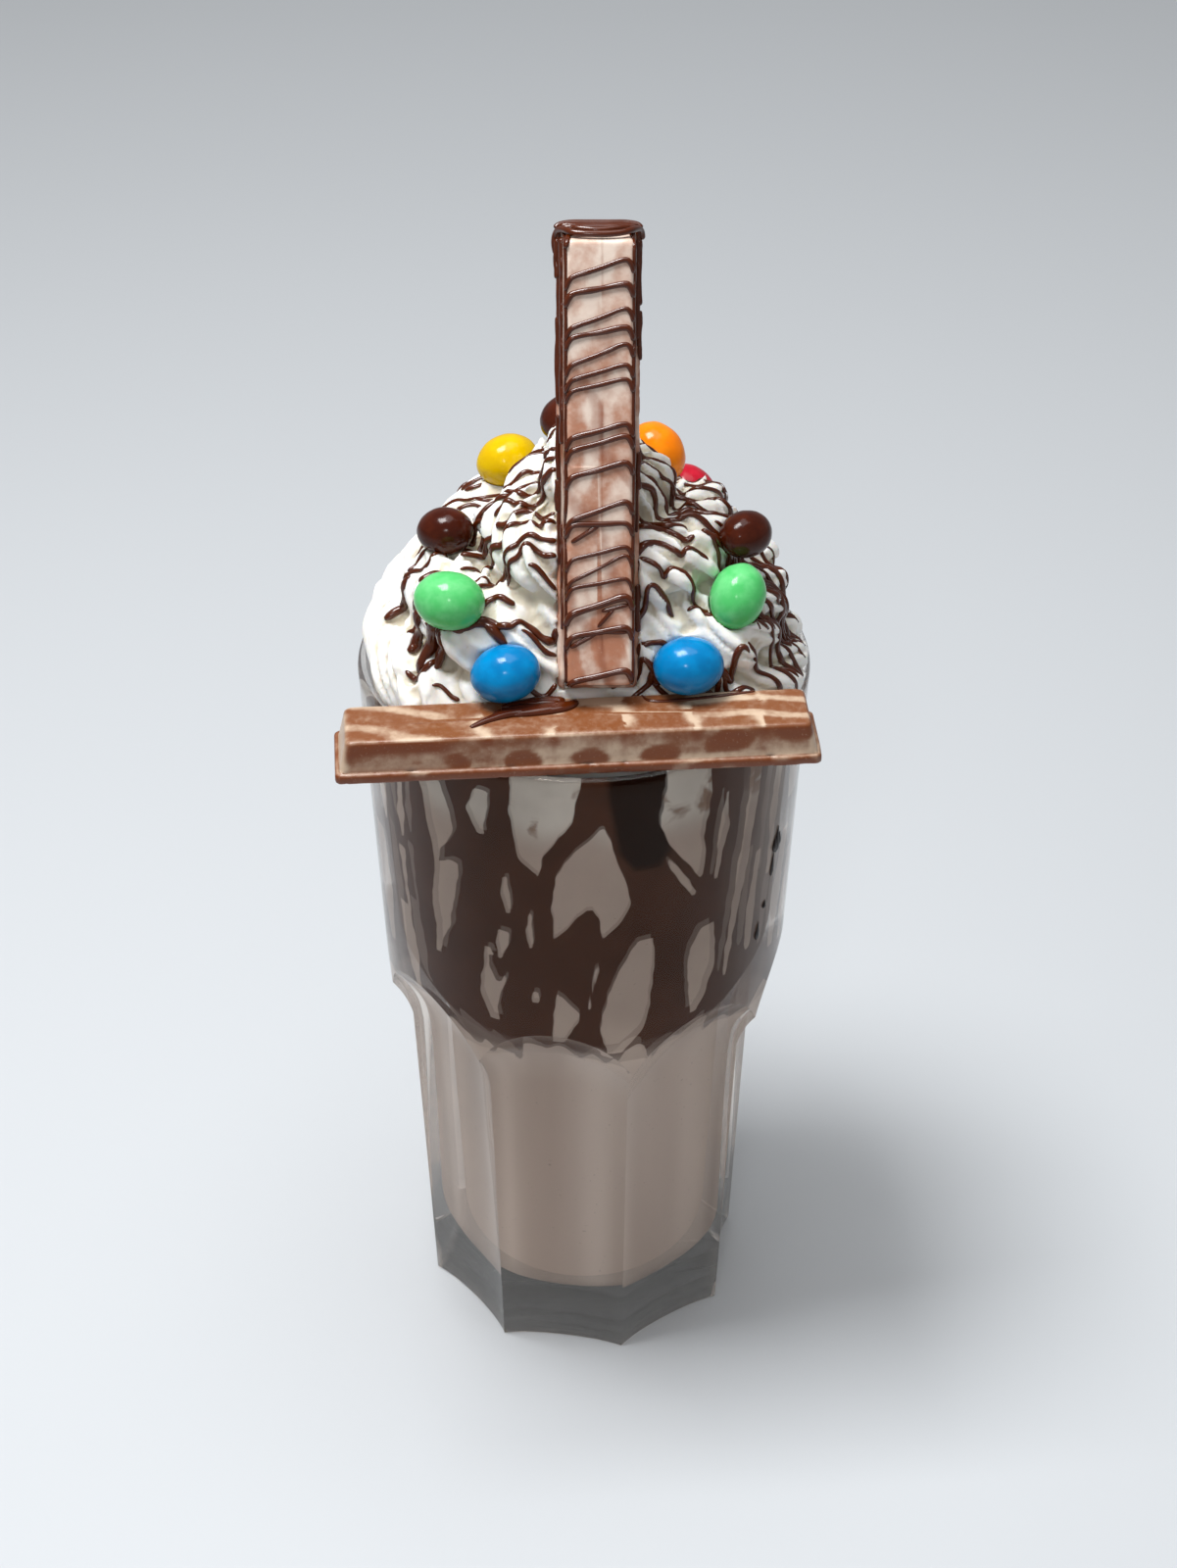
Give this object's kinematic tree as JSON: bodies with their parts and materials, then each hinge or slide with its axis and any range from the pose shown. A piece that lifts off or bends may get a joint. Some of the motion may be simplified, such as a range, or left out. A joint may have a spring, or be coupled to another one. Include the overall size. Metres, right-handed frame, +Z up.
{
  "type": "chocolate milkshake",
  "caption": "Chocolate milkshake in a fluted tumbler, topped with swirled whipped cream, chocolate sauce, wafer fingers and sugar-shelled candies.",
  "frame": {"origin": "centre of the glass's flat base, on the surface it stands on", "axes": "+Z up along the glass's axis; -Y is the front, where a wafer finger lies across the rim"},
  "size_m": [0.092, 0.0901, 0.251],
  "materials": {
    "clear_glass": "clear, polished",
    "shake": "smooth chocolate milkshake with dark sauce streaks against the glass",
    "cream": "soft whipped cream with thin dark sauce lines",
    "wafer": "satin milk chocolate marbled with white chocolate",
    "candy_green": "glossy sugar shell",
    "candy_brown": "glossy sugar shell",
    "candy_yellow": "glossy sugar shell",
    "candy_orange": "glossy sugar shell",
    "candy_red": "glossy sugar shell",
    "candy_blue": "glossy sugar shell"
  },
  "bodies": {
    "root": {"glass": "clear_glass", "milkshake": "shake", "whipped_cream": "cream", "wafer_lying": "wafer", "wafer_standing": "wafer", "candy_green_left": "candy_green", "candy_green_right": "candy_green", "candy_brown_left": "candy_brown", "candy_brown_right": "candy_brown", "candy_yellow": "candy_yellow", "candy_orange": "candy_orange", "candy_red": "candy_red", "candy_brown_top": "candy_brown", "candy_green_back": "candy_green", "candy_blue_back": "candy_blue", "candy_blue_left": "candy_blue", "candy_blue_right": "candy_blue"}
  },
  "joints": []
}
